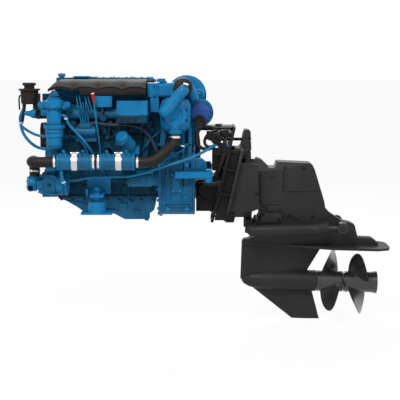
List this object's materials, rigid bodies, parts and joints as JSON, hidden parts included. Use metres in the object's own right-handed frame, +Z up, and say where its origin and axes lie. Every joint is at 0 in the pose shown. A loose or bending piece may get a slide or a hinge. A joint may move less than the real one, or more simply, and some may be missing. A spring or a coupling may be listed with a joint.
{
  "type": "stern drive engine",
  "caption": "Marine diesel engine with its transom shield, steerable and tilting drive leg, and contra-rotating propellers.",
  "frame": {"origin": "where the crankshaft line meets the outer face of the transom", "axes": "+X aft along the crankshaft line, +Y to starboard, +Z up"},
  "size_m": [1.9326, 0.6863, 1.3092],
  "materials": {
    "engine_blue": "satin",
    "drive_grey": "matt",
    "black_plastic": "matt",
    "hose_rubber": "matt",
    "steel": "machined",
    "iron": "as cast",
    "aluminium": "satin",
    "red_plastic": "gloss",
    "box_plastic": "matt",
    "cooler_blue": "satin paint",
    "drive_alloy": "matt paint",
    "propeller": "gloss paint"
  },
  "bodies": {
    "root": {"cylinder_block": "iron", "oil_pan": "cooler_blue", "timing_case": "cooler_blue", "drive_belt": "hose_rubber", "belt_guard": "black_plastic", "cylinder_head": "iron", "valve_cover": "cooler_blue", "engine_cover": "black_plastic", "flywheel_housing": "cooler_blue", "engine_mounts": "steel", "mount_brackets": "engine_blue", "cooler_tubes": "cooler_blue", "cooler_bands": "steel", "sea_water_pump": "engine_blue", "fuel_filter": "engine_blue", "oil_filter": "engine_blue", "oil_cooler": "cooler_blue", "starter_motor": "engine_blue", "intake_manifold": "cooler_blue", "fuel_injection": "engine_blue", "control_boxes": "box_plastic", "aftercooler": "cooler_blue", "charge_pipe": "cooler_blue", "header_tank": "cooler_blue", "air_filter": "cooler_blue", "turbocharger": "iron", "exhaust_manifold": "iron", "alternator": "aluminium", "steering_reservoir": "black_plastic", "rubber_hoses": "hose_rubber", "small_hoses": "hose_rubber", "engine_pipes": "engine_blue", "hose_clamps": "steel", "inner_transom_plate": "drive_alloy", "transom_bolts": "steel", "gimbal_housing": "drive_alloy", "steering_cylinder": "drive_grey", "drive_bellows": "hose_rubber"},
    "crank": {"crankshaft": "steel", "crank_pulley": "steel", "flywheel": "iron", "output_shaft": "steel"},
    "alternator_rotor": {"alternator_pulley": "steel"},
    "coolant_pump_rotor": {"coolant_pump_pulley": "steel"},
    "dipstick": {"dipstick": "red_plastic"},
    "reservoir_cap": {"reservoir_cap": "black_plastic"},
    "oil_filler_cap": {"oil_filler_cap": "black_plastic"},
    "steering_gimbal": {"gimbal_ring": "drive_grey", "steering_lever": "steel"},
    "steering_rod": {"steering_rod": "steel"},
    "drive": {"drive_shaft_housing": "drive_alloy", "rear_cover": "drive_alloy", "gear_housing": "drive_alloy", "trim_pins": "steel"},
    "trim_barrels": {"trim_barrels": "drive_grey"},
    "trim_rods": {"trim_rods": "steel"},
    "input_shaft": {"input_shaft": "steel"},
    "vertical_shaft": {"vertical_shaft": "steel"},
    "front_propeller": {"front_propeller": "propeller"},
    "rear_propeller": {"rear_propeller": "propeller"}
  },
  "joints": [
    {"name": "crank_turn", "type": "hinge", "parent": "root", "child": "crank", "pos_m": [-0.6, 0, 0], "axis": [1, 0, 0], "continuous": true},
    {"name": "alternator_turn", "type": "hinge", "parent": "root", "child": "alternator_rotor", "pos_m": [-0.97, 0.2, 0.225], "axis": [1, 0, 0], "continuous": true},
    {"name": "coolant_pump_turn", "type": "hinge", "parent": "root", "child": "coolant_pump_rotor", "pos_m": [-0.97, 0.02, 0.225], "axis": [1, 0, 0], "continuous": true},
    {"name": "dipstick_pull", "type": "slide", "parent": "root", "child": "dipstick", "axis": [-0.0912, -0.2522, 0.9634], "range_m": [0, 0.3]},
    {"name": "reservoir_cap_turn", "type": "hinge", "parent": "root", "child": "reservoir_cap", "pos_m": [-1.045, -0.12, 0.5], "axis": [0, 0, 1], "range_deg": [0, 90]},
    {"name": "oil_filler_cap_turn", "type": "hinge", "parent": "root", "child": "oil_filler_cap", "pos_m": [-0.901, 0.068, 0.54], "axis": [0, 0, 1], "range_deg": [0, 90]},
    {"name": "steer", "type": "hinge", "parent": "root", "child": "steering_gimbal", "pos_m": [0.078, 0, 0], "axis": [0, 0, 1], "range_deg": [-28, 28], "deforming": ["drive_bellows"]},
    {"name": "steering_rod_slide", "type": "slide", "parent": "root", "child": "steering_rod", "axis": [0, 1, 0], "range_m": [-0.0865, 0.0865]},
    {"name": "tilt", "type": "hinge", "parent": "steering_gimbal", "child": "drive", "pos_m": [0.078, 0, 0], "axis": [0, -1, 0], "range_deg": [0, 45]},
    {"name": "trim_barrel_swing", "type": "hinge", "parent": "steering_gimbal", "child": "trim_barrels", "pos_m": [0.089, 0, -0.247], "axis": [0, -1, 0], "range_deg": [0, 41]},
    {"name": "trim_rod_slide", "type": "slide", "parent": "trim_barrels", "child": "trim_rods", "axis": [0.9999, 0, 0.0138], "range_m": [0, 0.19]},
    {"name": "input_turn", "type": "hinge", "parent": "drive", "child": "input_shaft", "pos_m": [0.078, 0, 0], "axis": [0.9996, 0, -0.0279], "continuous": true},
    {"name": "vertical_turn", "type": "hinge", "parent": "drive", "child": "vertical_shaft", "pos_m": [0.27792, 0, -0.00558], "axis": [-0.0279, 0, -0.9996], "continuous": true},
    {"name": "front_propeller_turn", "type": "hinge", "parent": "drive", "child": "front_propeller", "pos_m": [0.26293, 0, -0.54238], "axis": [0.9996, 0, -0.0279], "continuous": true},
    {"name": "rear_propeller_turn", "type": "hinge", "parent": "drive", "child": "rear_propeller", "pos_m": [0.26293, 0, -0.54238], "axis": [0.9996, 0, -0.0279], "continuous": true}
  ],
  "couplings": [
    {"joint": "alternator_turn", "follows": "crank_turn", "ratio": 1.8125},
    {"joint": "coolant_pump_turn", "follows": "crank_turn", "ratio": 1.16},
    {"joint": "input_turn", "follows": "crank_turn", "ratio": 1},
    {"joint": "vertical_turn", "follows": "crank_turn", "ratio": 1},
    {"joint": "front_propeller_turn", "follows": "crank_turn", "ratio": 0.59459},
    {"joint": "rear_propeller_turn", "follows": "crank_turn", "ratio": -0.59459},
    {"joint": "steering_rod_slide", "follows": "steer", "m_per_rad": -0.176},
    {"joint": "trim_barrel_swing", "follows": "tilt", "ratio": 0.888},
    {"joint": "trim_rod_slide", "follows": "tilt", "m_per_rad": 0.236}
  ]
}
